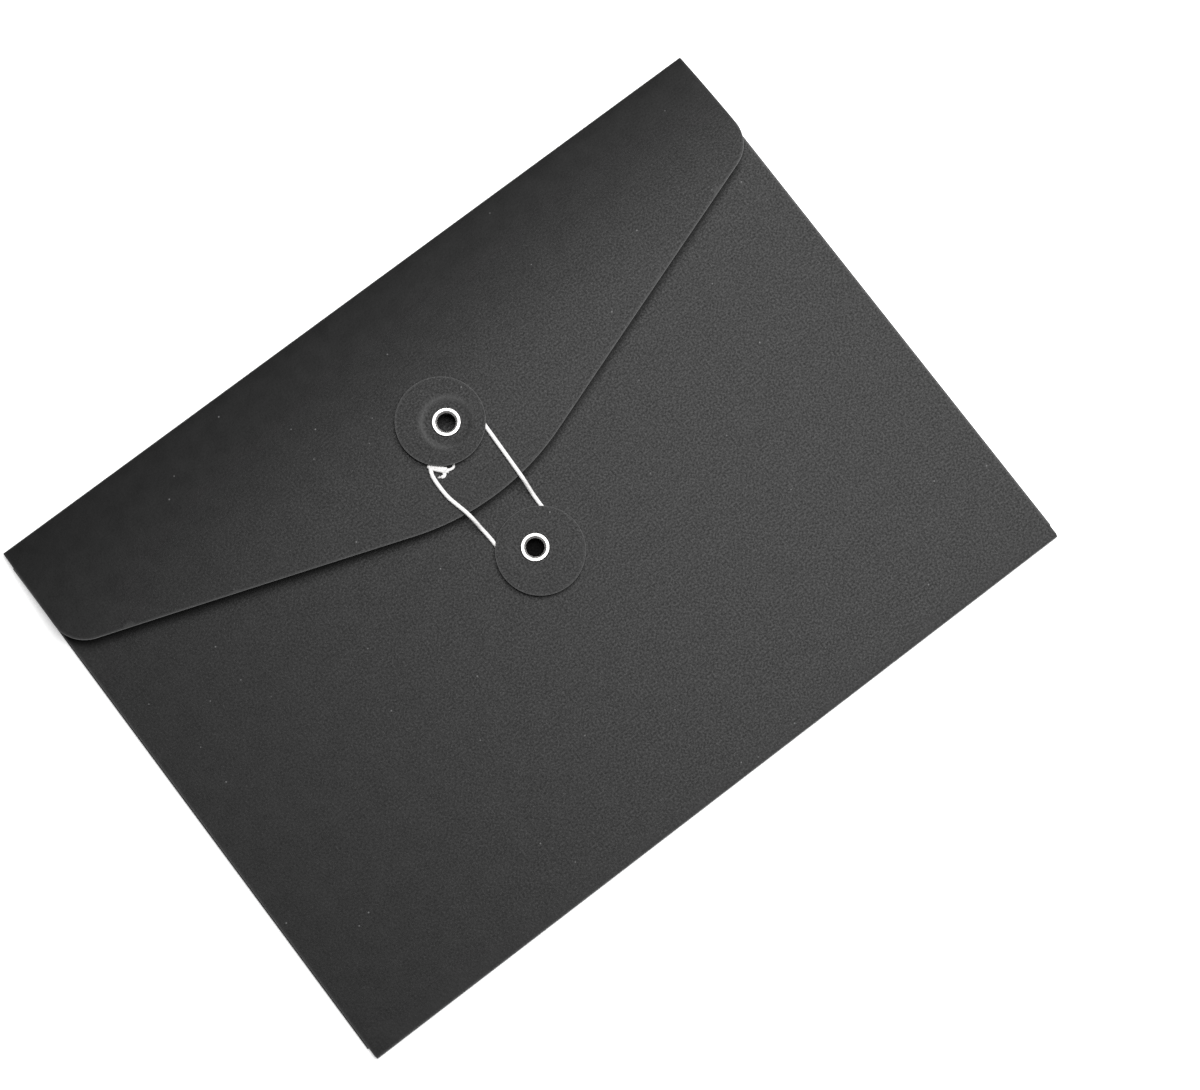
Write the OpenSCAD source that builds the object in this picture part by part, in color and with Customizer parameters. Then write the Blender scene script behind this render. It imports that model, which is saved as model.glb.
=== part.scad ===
// Flat card document folder with a string and button closure, lying on its back.
// X runs along the flap's fold, Y points up the folder to that fold, Z points out of the front.
// The origin is the middle of the rear panel's underside. All sizes are in millimetres.

/* [Folder] */
// Width along the flap's fold
folder_w = 330; // [240:1:400]
// Height from the bottom fold to the flap's fold
folder_h = 241; // [200:1:300]
// Thickness of the card
card_t = 0.5; // [0.3:0.05:0.7]
// Depth of the empty pocket between its two panels
pocket_gap = 1.2; // [1.15:0.05:1.6]
// Distance from the flap's fold down to the pocket's mouth
mouth_drop = 3; // [2.5:0.5:12]
// How far the front panel's cut edges stay inside the side folds
front_inset = 0.6; // [0.2:0.1:3]

/* [Side seams] */
// Width of a glue tab from its fold
tab_w = 15; // [10:1:30]
// How much a tab narrows at each end
tab_taper = 8; // [2:1:20]
// Distance from a tab's end to the pocket's bottom and mouth
tab_end_gap = 4; // [2:0.5:20]
// Width of the glue line on a tab
glue_w = 8; // [3:0.5:9]
// Thickness of the glue line
glue_t = 0.1; // [0.05:0.01:0.2]

/* [Flap] */
// Depth of the flap's sides, fold to the point where a side would meet the slope
flap_side_depth = 46.3; // [30:0.1:60]
// Depth of the flap's point, fold to where the two slopes would meet
flap_point_depth = 103.5; // [95:0.1:110]
// Radius of the rounded point
flap_point_r = 106; // [40:1:140]
// Radius of the rounded side corners
flap_corner_r = 15; // [4:0.5:25]
// How far the flap's sides stay inside the folder's sides
flap_inset = 0.6; // [0.2:0.1:4]
// Outer radius of the flap's fold
fold_r = 1.4; // [1.3:0.05:2]
// Angle at which the closed flap rises from its fold
flap_rise = 13; // [9:0.5:16]
// Radius to which the closed flap bows
flap_bow_r = 290; // [240:5:340]

/* [Buttons] */
// Diameter of a button
button_d = 35; // [32:0.5:38]
// Thickness of a button's card
button_t = 0.6; // [0.4:0.05:1]
// Distance from a button's hole to its middle
button_offset = 2.4; // [0:0.1:3]
// Direction of the flap button's middle from its hole, in degrees
flap_button_turn = 133; // [-180:1:180]
// Direction of the front button's middle from its hole, in degrees
front_button_turn = -68; // [-180:1:180]
// Radius of the washer that holds a button off the card
spacer_r = 10.4; // [8:0.1:11]
// Thickness of that washer, room for the string beside it
spacer_h = 1.95; // [1.9:0.05:2.6]

/* [Eyelets] */
// Distance from the flap's fold down to the flap eyelet
flap_eyelet_drop = 63.9; // [60:0.1:66]
// Sideways place of the flap eyelet
flap_eyelet_x = 1.5; // [0:0.1:3]
// Distance from the flap's fold down to the front eyelet
front_eyelet_drop = 122.3; // [120:0.1:126]
// Radius of an eyelet's bore
bore_r = 3.6; // [2.8:0.1:4]
// Thickness of an eyelet's metal
metal_t = 0.3; // [0.2:0.05:0.4]
// Radius of an eyelet's flange
flange_r = 5.7; // [5.4:0.1:6]
// Height of the flange's dome
flange_h = 0.7; // [0.5:0.05:0.9]
// Height of the flange's outer edge
flange_edge = 0.15; // [0.05:0.01:0.25]
// Radius of the ring of petals
petal_r = 6.1; // [5.5:0.1:7]
// Height of the rolled petals
petal_h = 0.8; // [0.6:0.05:0.9]
// Outer radius of the two bends in a petal
roll_r = 0.5; // [0.45:0.05:0.6]
// Number of petals
petals = 8; // [5:1:10]
// Width of the split between two petals at the barrel
split_w = 0.5; // [0.2:0.05:0.8]
// Width of that split at the petals' tips
split_tip_w = 1.3; // [0.8:0.1:2]

/* [String] */
// Diameter of the string
string_d = 1.6; // [1:0.1:1.7]
// Distance over which the string drops from the flap's point to the front panel
string_drop = 9; // [6:0.5:12]
// Radius of the knot
knot_r = 1.05; // [0.9:0.05:1.1]
// Radius of the knot's frayed tails
tail_r = 0.5; // [0.3:0.05:0.6]

/* [Clearances] */
// Clearance of an eyelet's barrel in a button or in the card
barrel_gap = 0.05; // [0.02:0.01:0.08]
// Clearance over and under a button and its washer
seat_gap = 0.05; // [0.02:0.01:0.1]
// Clearance of the petals under the card
petal_gap = 0.1; // [0.08:0.01:0.2]
// Clearance of the string over the card
string_gap = 0.1; // [0.05:0.01:0.12]
// Clearance of the string's turns round a washer
turn_gap = 0.3; // [0.1:0.05:0.6]

/* [Hidden] */
$fn = 96;

// Heights of the pocket's layers
front_bottom = card_t + pocket_gap;
front_top = front_bottom + card_t;
tab_top = front_bottom - glue_t;
tab_bottom = tab_top - card_t;

// Half-round folds at the bottom and at the sides, and the edges that they leave
bottom_fold_r = front_top / 2;
side_fold_r = tab_top / 2;
rear_half_w = folder_w / 2 - side_fold_r;
pocket_bottom_y = -folder_h / 2 + bottom_fold_r;
mouth_y = folder_h / 2 - mouth_drop;
tab_bottom_y = pocket_bottom_y + tab_end_gap;
tab_top_y = mouth_y - tab_end_gap;

// The flap's fold, and the arc that the closed flap follows, as [y, z]
fold_y = folder_h / 2;
fold_c = [fold_y - fold_r, fold_r];
bow_c = fold_c - (flap_bow_r - fold_r) * [sin(flap_rise), cos(flap_rise)];

// The flap's outline: its slope, its arcs' centres and where they meet the slope
flap_half_w = folder_w / 2 - flap_inset;
point_y = fold_y - flap_point_depth;
slope = atan2(flap_point_depth - flap_side_depth, flap_half_w);
slope_normal = [sin(slope), -cos(slope)];
point_c = [0, point_y + flap_point_r / cos(slope)];
point_t = point_c + flap_point_r * slope_normal;
flap_tip_y = point_c[1] - flap_point_r;
corner_x = flap_half_w - flap_corner_r;
corner_c = [corner_x, point_y + corner_x * tan(slope) + flap_corner_r / cos(slope)];
corner_t = corner_c + flap_corner_r * slope_normal;

// Where the two eyelets sit, and how far the bowed flap tilts there
flap_eyelet_y = fold_y - flap_eyelet_drop;
front_eyelet_y = fold_y - front_eyelet_drop;
flap_tilt = asin((flap_eyelet_y - bow_c[0]) / flap_bow_r);
flap_eyelet_z = bow_c[1] + flap_bow_r * cos(flap_tilt);
flap_seat = [flap_eyelet_x, flap_eyelet_y, flap_eyelet_z];
front_seat = [0, front_eyelet_y, front_top];

// Heights on an eyelet, from the card's outer face
barrel_r = bore_r + metal_t;
hole_r = barrel_r + barrel_gap;
spacer_z = seat_gap;
button_z = spacer_z + spacer_h + seat_gap;
flange_z = button_z + button_t + seat_gap;
petal_top = -card_t - petal_gap;
petal_bottom = petal_top - petal_h;

// The dome of an eyelet's flange, an arc through its two edges and its crown
flange_mid_r = (bore_r + flange_r) / 2;
flange_half = (flange_r - bore_r) / 2;
dome_rise = flange_h - flange_edge;
dome_r = (flange_half * flange_half + dome_rise * dome_rise) / (2 * dome_rise);

// How far the flap's bow runs into its fold, so that the two are one sheet
section_lap = 0.1;

// The string's turns under the buttons, its sides and the rings between two of its points
string_turn_r = spacer_r + turn_gap + string_d / 2;
string_sides = 8;
rings_per_span = 2;

// The string's two spans, from the front eyelet (0) to the flap eyelet (1), as [outward bulge, share].
// The left span goes into the knot, and so does the string's end beside it.
span_shares = [for (i = [1 : 19]) i / 20];
left_span = [
    [0, 0.1], [0, 0.2], [0.2, 0.265], [0.6, 0.318], [0.95, 0.363], [1.4, 0.411], [2, 0.467],
    [2.9, 0.529], [3.7, 0.588], [4, 0.641], [4.05, 0.691], [3.95, 0.741], [3.5, 0.787], [2.3, 0.832]];
end_span = [[0.4, 0.92], [0.8, 0.86], [1.2, 0.815]];
turn_angles = [0 : 30 : 180];

// The knot lies along the flap button's rim; one tail runs on from it and one curls back.
// Its points are taken from the flap eyelet.
knot_points = [
    [-7.5, -14.9], [-8.5, -15.8], [-9.8, -15.8], [-11.1, -14.4],
    [-12.3, -13], [-13.6, -11.5], [-14.9, -9.8], [-15.5, -9]];
knot_radii = [tail_r, tail_r, tail_r, 0.8 * knot_r, knot_r, knot_r, 0.9 * knot_r, tail_r];
tail_points = [[-12.5, -13.3], [-12.4, -15.1], [-13.3, -15.9], [-14.4, -15.4]];

// Height of the flap's outer face at a place along Y
function flap_z(y) = bow_c[1] + sqrt(flap_bow_r * flap_bow_r - (y - bow_c[0]) * (y - bow_c[0]));

// Height on which the string lies: the flap, then a smooth drop past its point, then the front panel
function bed_z(y) =
    let (drop = max(0, min(1, (flap_tip_y - y) / string_drop)))
    front_top + (flap_z(max(y, flap_tip_y)) - front_top) * (1 + cos(180 * drop)) / 2;

// A piece of string of radius r on its bed
function on_bed(x, y, r) = [x, y, bed_z(y) + string_gap + r];

// A place on the span between the eyelets
function span_y(share) = front_eyelet_y + share * (flap_eyelet_y - front_eyelet_y);

// The string's route from the knot, round the front eyelet and the flap eyelet, back to the knot
function string_route() =
    let (r = string_d / 2, last = len(left_span) - 1)
    concat(
        [for (i = [last : -1 : 0]) on_bed(-string_turn_r - left_span[i][0], span_y(left_span[i][1]), r)],
        [for (a = turn_angles)
            on_bed(-string_turn_r * cos(a), front_eyelet_y - string_turn_r * sin(a), r)],
        [for (share = span_shares) on_bed(string_turn_r + share * flap_eyelet_x, span_y(share), r)],
        [for (a = turn_angles)
            on_bed(flap_eyelet_x + string_turn_r * cos(a), flap_eyelet_y + string_turn_r * sin(a), r)],
        [for (p = end_span) on_bed(flap_eyelet_x - string_turn_r - p[0], span_y(p[1]), r)]);

// The knot's points on the flap, each with its own radius
function knot_route(p, radii) = [
    for (i = [0 : len(p) - 1]) on_bed(flap_eyelet_x + p[i][0], flap_eyelet_y + p[i][1], radii[i])];

function unit(v) = v / norm(v);

// A point on the smooth curve through four points, between the middle two
function curve_point(a, b, c, d, t) =
    0.5 * (2 * b + (c - a) * t + (2 * a - 5 * b + 4 * c - d) * t * t
        + (3 * b - a - 3 * c + d) * t * t * t);

function smooth_route(p, n) = [
    for (i = [0 : len(p) - 2], k = [0 : n - 1])
        curve_point(p[max(i - 1, 0)], p[i], p[i + 1], p[min(i + 2, len(p) - 1)], k / n),
    p[len(p) - 1]];

function route_length(p) = len(p) < 2 ? 0 : sum([for (i = [1 : len(p) - 1]) norm(p[i] - p[i - 1])]);
function sum(v, i = 0) = i == len(v) ? 0 : v[i] + sum(v, i + 1);

function direction(p, i) = unit(p[min(i + 1, len(p) - 1)] - p[max(i - 1, 0)]);

// One ring of a tube round point i of a route
function tube_ring(p, i, r, sides) =
    let (forward = direction(p, i), side = unit(cross(forward, [0, 0, 1])), up = cross(side, forward))
    [for (k = [0 : sides - 1]) p[i] + r * (cos(360 * k / sides) * side + sin(360 * k / sides) * up)];

// The least distance between a tube's skin and itself, over rings further apart than a turn needs
function least_gap(p, d, apart) =
    min([for (i = [0 : len(p) - 1 - apart], j = [i + apart : len(p) - 1]) norm(p[i] - p[j])]) - d;

module tube(p, radii, sides) {
    last = len(p) - 1;
    skin = [for (i = [0 : last]) each tube_ring(p, i, radii[i], sides)];
    walls = [
        for (i = [0 : last - 1], k = [0 : sides - 1])
            let (a = i * sides + k, b = i * sides + (k + 1) % sides)
            each [[a, b, b + sides], [a, b + sides, a + sides]]];
    ends = [
        for (k = [1 : sides - 2])
            each [[0, k + 1, k], [last * sides, last * sides + k, last * sides + k + 1]]];
    polyhedron(skin, concat(walls, ends));
}

// Part of a ring between two angles, up to a half turn
module ring_sector(r_out, r_in, from, to) {
    reach = 2 * r_out;
    intersection() {
        difference() {
            circle(r_out);
            circle(r_in);
        }
        polygon([[0, 0], for (k = [0 : 3]) let (a = from + (to - from) * k / 3)
            reach * [cos(a), sin(a)]]);
    }
}

// Extrudes a [y, z] profile along X, centred
module along_x(w) {
    translate([-w / 2, 0, 0]) rotate([90, 0, 90]) linear_extrude(w) children();
}

// Extrudes an [x, z] profile along Y between two places
module along_y(from, to) {
    translate([0, to, 0]) rotate([90, 0, 0]) linear_extrude(to - from) children();
}

module card() {
    color("#38383a") children();
}

module at_flap_eyelet() {
    translate(flap_seat) rotate([-flap_tilt, 0, 0]) children();
}

module at_front_eyelet() {
    translate(front_seat) children();
}

module rear_panel() {
    card() translate([-rear_half_w, pocket_bottom_y, 0])
        cube([2 * rear_half_w, fold_c[0] - pocket_bottom_y, card_t]);
}

module bottom_fold() {
    card() along_x(2 * rear_half_w) translate([pocket_bottom_y, bottom_fold_r])
        ring_sector(bottom_fold_r, bottom_fold_r - card_t, 90, 270);
}

module front_panel() {
    half_w = folder_w / 2 - front_inset;
    card() difference() {
        translate([-half_w, pocket_bottom_y, front_bottom])
            cube([2 * half_w, mouth_y - pocket_bottom_y, card_t]);
        at_front_eyelet() cylinder(r = hole_r, h = 4 * card_t, center = true);
    }
}

module side_fold() {
    along_y(tab_bottom_y, tab_top_y) translate([rear_half_w, side_fold_r])
        ring_sector(side_fold_r, side_fold_r - card_t, -90, 90);
}

module glue_tab() {
    translate([rear_half_w, 0, tab_bottom]) linear_extrude(card_t) polygon([
        [0, tab_bottom_y], [0, tab_top_y],
        [-tab_w, tab_top_y - tab_taper], [-tab_w, tab_bottom_y + tab_taper]]);
}

module glue_strip() {
    inset = (tab_w - glue_w) / 2;
    translate([rear_half_w - tab_w + inset, tab_bottom_y + tab_taper, tab_top])
        cube([glue_w, tab_top_y - tab_bottom_y - 2 * tab_taper, glue_t]);
}

module left_side_fold() {
    card() mirror([1, 0, 0]) side_fold();
}

module right_side_fold() {
    card() side_fold();
}

module left_glue_tab() {
    card() mirror([1, 0, 0]) glue_tab();
}

module right_glue_tab() {
    card() glue_tab();
}

module left_glue_strip() {
    color("ivory") mirror([1, 0, 0]) glue_strip();
}

module right_glue_strip() {
    color("ivory") glue_strip();
}

// The rear half of the flap's fold, up to the line on which the flap turns
module rear_fold() {
    card() along_x(2 * flap_half_w) translate(fold_c)
        ring_sector(fold_r, fold_r - card_t, -90, 0);
}

// A column with the flap's outline from above
module flap_column(h) {
    linear_extrude(h) polygon([
        [flap_half_w, fold_y + card_t], [flap_half_w, corner_c[1]], corner_t, point_t,
        [-point_t[0], point_t[1]], [-corner_t[0], corner_t[1]],
        [-flap_half_w, corner_c[1]], [-flap_half_w, fold_y + card_t]]);
    for (side = [-1, 1])
        translate([side * corner_c[0], corner_c[1], 0]) cylinder(r = flap_corner_r, h = h);
    intersection() {
        translate([0, point_c[1], 0]) cylinder(r = flap_point_r, h = h, $fn = 360);
        translate([-point_t[0], flap_tip_y - card_t, 0])
            cube([2 * point_t[0], point_t[1] - flap_tip_y + 2 * card_t, h]);
    }
}

// The flap's section across the fold: the fold's front half, then the bow
module flap_section() {
    reach = asin((bow_c[0] - flap_tip_y + flap_corner_r) / flap_bow_r);
    lap = asin(section_lap / flap_bow_r);
    translate(fold_c) ring_sector(fold_r, fold_r - card_t, 0, 90 - flap_rise);
    translate(bow_c)
        ring_sector(flap_bow_r, flap_bow_r - card_t, 90 - flap_rise - lap, 90 + reach, $fn = 720);
}

module closure_flap() {
    card() difference() {
        intersection() {
            along_x(folder_w) flap_section();
            flap_column(flap_bow_r);
        }
        at_flap_eyelet() cylinder(r = hole_r, h = 4 * card_t, center = true);
    }
}

// A flat card disc, its hole off-centre
module button(turn) {
    color("#3a3a3c") translate([0, 0, button_z]) difference() {
        translate(button_offset * [cos(turn), sin(turn), 0]) cylinder(d = button_d, h = button_t);
        cylinder(r = hole_r, h = 4 * button_t, center = true);
    }
}

// The washer under a button, which the string runs round
module spacer() {
    color("#303032") translate([0, 0, spacer_z]) difference() {
        cylinder(r = spacer_r, h = spacer_h);
        cylinder(r = hole_r, h = 4 * spacer_h, center = true);
    }
}

module flap_button() {
    at_flap_eyelet() button(flap_button_turn);
}

module front_button() {
    at_front_eyelet() button(front_button_turn);
}

module flap_spacer() {
    at_flap_eyelet() spacer();
}

module front_spacer() {
    at_front_eyelet() spacer();
}

// An eyelet's section: domed flange, barrel and rolled end, as [radius, height]
module eyelet_section() {
    roll_z = petal_bottom + roll_r;
    intersection() {
        translate([flange_mid_r, flange_z + flange_h - dome_r]) difference() {
            circle(dome_r);
            circle(dome_r - metal_t);
        }
        translate([bore_r, flange_z]) square([2 * flange_half, flange_h + metal_t]);
    }
    translate([bore_r, roll_z]) square([metal_t, flange_z + flange_edge / 2 - roll_z]);
    translate([bore_r + roll_r, roll_z]) ring_sector(roll_r, roll_r - metal_t, 180, 270);
    translate([bore_r + roll_r, petal_bottom]) square([petal_r - bore_r - 2 * roll_r, metal_t]);
    translate([petal_r - roll_r, roll_z]) ring_sector(roll_r, roll_r - metal_t, -90, 0);
    translate([petal_r - metal_t, roll_z]) square([metal_t, petal_top - roll_z]);
}

// A hollow rivet, its end split and rolled out into petals behind the card
module eyelet() {
    color("silver") difference() {
        rotate_extrude() eyelet_section();
        for (i = [0 : petals - 1])
            rotate(360 * i / petals) translate([0, 0, petal_bottom - metal_t])
                linear_extrude(petal_h + metal_t) polygon([
                    [bore_r / 2, -split_w / 2], [petal_r + metal_t, -split_tip_w / 2],
                    [petal_r + metal_t, split_tip_w / 2], [bore_r / 2, split_w / 2]]);
    }
}

module flap_eyelet() {
    at_flap_eyelet() eyelet();
}

module front_eyelet() {
    at_front_eyelet() eyelet();
}

module tie_string() {
    route = smooth_route(string_route(), rings_per_span);
    echo(string_length = route_length(route));
    echo(string_least_gap = least_gap(route, string_d, 8));
    color("white") tube(route, [for (p = route) string_d / 2], string_sides);
}

module string_knot() {
    tail_radii = [for (p = tail_points) tail_r];
    color("white") {
        tube(knot_route(knot_points, knot_radii), knot_radii, string_sides);
        tube(knot_route(tail_points, tail_radii), tail_radii, string_sides);
    }
}

rear_panel();
bottom_fold();
front_panel();
left_side_fold();
right_side_fold();
left_glue_tab();
right_glue_tab();
left_glue_strip();
right_glue_strip();
rear_fold();
closure_flap();
flap_button();
front_button();
flap_spacer();
front_spacer();
flap_eyelet();
front_eyelet();
tie_string();
string_knot();
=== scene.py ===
# A black card document folder with a string and button closure, lying closed on a pale floor.
# X runs along the flap's fold, Y up the folder to that fold, Z out of its front.
# Sizes are in millimetres, in the solids' own frame; floor, light and finished meshes are in metres.
import math

import bmesh
import bpy
from mathutils import Matrix, Vector
from mathutils.geometry import delaunay_2d_cdt


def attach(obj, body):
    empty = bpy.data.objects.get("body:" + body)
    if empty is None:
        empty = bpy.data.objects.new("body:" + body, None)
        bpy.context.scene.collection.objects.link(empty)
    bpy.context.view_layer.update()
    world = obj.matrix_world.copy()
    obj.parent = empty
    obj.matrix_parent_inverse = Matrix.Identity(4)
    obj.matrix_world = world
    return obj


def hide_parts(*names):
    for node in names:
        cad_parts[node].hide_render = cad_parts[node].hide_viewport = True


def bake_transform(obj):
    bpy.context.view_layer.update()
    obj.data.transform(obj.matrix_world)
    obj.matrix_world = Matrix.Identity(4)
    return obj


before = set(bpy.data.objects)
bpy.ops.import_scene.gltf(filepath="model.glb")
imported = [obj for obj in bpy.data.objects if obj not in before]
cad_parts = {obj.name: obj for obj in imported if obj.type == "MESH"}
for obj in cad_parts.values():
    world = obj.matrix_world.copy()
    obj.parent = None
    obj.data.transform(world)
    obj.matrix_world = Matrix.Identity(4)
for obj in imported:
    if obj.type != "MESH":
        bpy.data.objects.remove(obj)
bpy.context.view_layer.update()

MM = 0.001
FULL_TURN = 2 * math.pi
QUARTER_TURN = math.pi / 2

# Card, pocket and side seams
CARD_T = 0.5
HALF_W = 165.0
HALF_H = 120.5
FRONT_TOP = 2.2
FRONT_HALF_W = 164.4
MOUTH_Y = 117.5
BOTTOM_R = FRONT_TOP / 2
BOTTOM_Y = -HALF_H + BOTTOM_R
SIDE_R = 0.8
REAR_HALF_W = HALF_W - SIDE_R
TAB_W = 15.0
TAB_TAPER = 8.0
TAB_END_GAP = 4.0
TAB_BOTTOM_Y = BOTTOM_Y + TAB_END_GAP
TAB_TOP_Y = MOUTH_Y - TAB_END_GAP

# Flap: its fold, its bow and its outline
FLAP_HALF_W = 164.4
FOLD_R = 1.4
RISE = math.radians(13)
BOW_R = 290.0
FOLD_Y = HALF_H - FOLD_R
BOW_Y = FOLD_Y - (BOW_R - FOLD_R) * math.sin(RISE)
BOW_Z = FOLD_R - (BOW_R - FOLD_R) * math.cos(RISE)
SIDE_DEPTH = 46.3
POINT_DEPTH = 103.5
POINT_R = 106.0
CORNER_R = 15.0
SLOPE = math.atan2(POINT_DEPTH - SIDE_DEPTH, FLAP_HALF_W)
POINT_CY = HALF_H - POINT_DEPTH + POINT_R / math.cos(SLOPE)
TIP_Y = POINT_CY - POINT_R
CORNER_X = FLAP_HALF_W - CORNER_R
CORNER_Y = HALF_H - POINT_DEPTH + CORNER_X * math.tan(SLOPE) + CORNER_R / math.cos(SLOPE)

# Buttons and eyelets
BUTTON_D = 35.0
BUTTON_T = 0.6
BUTTON_OFFSET = 2.4
FLAP_TURN = math.radians(133)
FRONT_TURN = math.radians(-68)
FLAP_PRESS = 0.15
FRONT_PRESS = 0.02
SPACER_R = 10.4
SPACER_H = 1.95
SEAT_GAP = 0.05
BUTTON_Z = SPACER_H + 2 * SEAT_GAP
HOLE_R = 3.95
BORE_R = 3.6
METAL_T = 0.3
BARREL_R = BORE_R + METAL_T
FLANGE_R = 5.7
FLANGE_H = 0.7
FLANGE_EDGE = 0.15
FLANGE_Z = BUTTON_Z + BUTTON_T + SEAT_GAP
PETALS = 8
PETAL_R = 6.1
PETAL_H = 0.8
PETAL_TOP = -CARD_T - 0.1
PETAL_BOTTOM = PETAL_TOP - PETAL_H
ROLL_R = 0.5
SPLIT_W = 0.5
SPLIT_TIP_W = 1.3
FLAP_EYELET = (1.5, 56.6)
FRONT_EYELET = (0.0, -1.8)

# String
STRING_R = 0.8
TURN_R = SPACER_R + 0.3 + STRING_R
STRING_DROP = 9.0
STRING_GAP = 0.1
STRANDS = 3
STRAND_LOW = 0.96
STRAND_RISE = 0.07
STRING_LAY = 5.5
KNOT_LAY = 3.0
KNOT_R = 1.05
TAIL_R = 0.5
LOW_R = 0.85
WRAP_R = 0.58
WRAPS = 5
CORE_R = 0.9 * KNOT_R
SECOND_R = 0.7
STRING_STEPS = 16
CORE_STEPS = 24
TAIL_STEPS = 8
LOW_STEPS = 12
FRAY_STEPS = 4

# How finely card is drawn: steps along panels and folds, and the rounding of a cut edge
REAR_STEP = 12.0
FLAP_STEP = 5.0
FRONT_STEP = 10.0
COLUMN_STEP = 8.0
FOLD_STEP = 0.3
SEAM_STEP = 0.25
CUT_SOFT = 0.16
CUT_ROW = 1.0
HOLE_SIDES = 40
HOLE_ROW_SIDES = 24
TINY = 0.01

# Points keep clear of the flap's corner and lower edge and of a hole, and a row of them runs round the hole
CORNER_CLEAR = 2.0
EDGE_CLEAR = 1.5
FLAP_HOLE_ROW = 1.5
FLAP_HOLE_CLEAR = 2.0
FRONT_HOLE_ROW = 2.0
FRONT_HOLE_CLEAR = 3.0

# How much of the back's inner face the open mouth shows; deeper in, that face is painted near black as
# shade in the pocket
MOUTH_SHOWN = 8.0

# How pale a line of the card is rubbed, how far the rub reaches, and how far it lies towards the front; on
# the flap's lower edge, the bottom fold and the buttons' pressed ring the paleness is partly painted
# highlight
CREASE_RUB = 0.1
CREASE_REACH = 1.6
BOTTOM_REACH = 1.4
BOTTOM_SHIFT = 0.4
SEAM_RUB = 0.3
SEAM_REACH = 1.2
SEAM_SHIFT = 0.3
EDGE_RUB = 0.3
EDGE_REACH = 0.8
LOWER_EDGE_RUB_AND_HIGHLIGHT = 0.35
LOWER_EDGE_REACH = 0.9
RIM_RUB = 0.25
RIM_REACH = 0.5
RING_RUB_AND_HIGHLIGHT = 0.3
RING_REACH = 1.7

# Camera at the photograph's place, from its solved view; width and focal length are in pixels
PHOTO_W = 1200
FOCAL_LENGTH = 2677
SENSOR_W = 36
CAMERA_AT = Vector((-78.974, -121.601, 1026.253))
CAMERA_RIGHT = Vector((0.7952464, -0.6061047, 0.0148395))
CAMERA_DOWN = Vector((-0.5985788, -0.7887919, -0.1396809))
CAMERA_AHEAD = Vector((0.0963665, 0.1021981, -0.9900854))


def place_camera():
    data = bpy.data.cameras.new("camera")
    data.sensor_fit = "HORIZONTAL"
    data.sensor_width = SENSOR_W
    data.lens = SENSOR_W * FOCAL_LENGTH / PHOTO_W
    data.clip_end = 50
    camera = bpy.data.objects.new("camera", data)
    camera.matrix_world = Matrix((CAMERA_RIGHT, -CAMERA_DOWN, -CAMERA_AHEAD)).transposed().to_4x4()
    camera.matrix_world.translation = CAMERA_AT * MM
    bpy.context.collection.objects.link(camera)
    bpy.context.scene.camera = camera


def flap_z(y):
    """Height of the closed flap's outer face."""
    return BOW_Z + math.sqrt(BOW_R**2 - (y - BOW_Y) ** 2)


# Seats of the two eyelets, on the bowed flap and on the flat front
FLAP_TILT = math.asin((FLAP_EYELET[1] - BOW_Y) / BOW_R)
AT_FLAP = Matrix.Translation((*FLAP_EYELET, flap_z(FLAP_EYELET[1])))
AT_FLAP = AT_FLAP @ Matrix.Rotation(-FLAP_TILT, 4, "X")
AT_FRONT = Matrix.Translation((*FRONT_EYELET, FRONT_TOP))


# Node materials
class Nodes:
    """A new material with short ways to add nodes and links to its surface shader."""

    def __init__(self, name):
        self.material = bpy.data.materials.new(name)
        self.material.use_nodes = True
        self.tree = self.material.node_tree
        self.shader = self.tree.nodes["Principled BSDF"]

    def add(self, kind, inputs=None, **settings):
        node = self.tree.nodes.new("ShaderNode" + kind)
        for key, value in settings.items():
            setattr(node, key, value)
        for key, value in (inputs or {}).items():
            self.set(node.inputs[key], value)
        return node

    def set(self, socket, value):
        if isinstance(value, bpy.types.NodeSocket):
            self.tree.links.new(value, socket)
        else:
            socket.default_value = value

    def place(self):
        return self.add("TexCoord").outputs["Object"]

    def point_value(self, name):
        return self.add("Attribute", attribute_name=name).outputs["Fac"]

    def noise(self, vector, scale, detail=3.0, roughness=0.55):
        inputs = {"Vector": vector, "Scale": scale, "Detail": detail, "Roughness": roughness}
        return self.add("TexNoise", inputs).outputs["Fac"]

    def stretch(self, vector, scale, turn=0.0):
        inputs = {"Vector": vector, "Scale": scale, "Rotation": (0, 0, turn)}
        return self.add("Mapping", inputs).outputs["Vector"]

    def ramp(self, value, low, high, out_low=0.0, out_high=1.0):
        inputs = {"Value": value, "From Min": low, "From Max": high, "To Min": out_low}
        inputs["To Max"] = out_high
        return self.add("MapRange", inputs).outputs["Result"]

    def math(self, operation, a, b=0.0):
        return self.add("Math", {0: a, 1: b}, operation=operation).outputs[0]

    def mix(self, factor, a, b):
        node = self.add("Mix", data_type="RGBA")
        self.set(node.inputs[0], factor)
        self.set(node.inputs[6], a)
        self.set(node.inputs[7], b)
        return node.outputs[2]

    def bump(self, height, strength, distance):
        inputs = {"Height": height, "Strength": strength, "Distance": distance}
        return self.add("Bump", inputs).outputs["Normal"]

    def surface(self, **inputs):
        for key, value in inputs.items():
            self.set(self.shader.inputs[key.replace("_", " ")], value)
        return self.material


def grey(value, warmth=0.0):
    return (value * (1 + warmth), value, value * (1 - warmth), 1)


# Scales of the card's texture, in features to the metre of the flat blank
GRAIN_SCALE = 1250
FINE_FELT_SCALE = 2600
FELT_SCALE = 700
CLOUD_SCALE = 120
FLECK_SCALE = 150
FIBRE_SCALE = (420, 3000, 1)

# Two directions of the fibres, and the random value above which a cell has a fleck
FIBRE_TURNS = (0.5, -0.7)
FLECKED_ABOVE = 0.72


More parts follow.
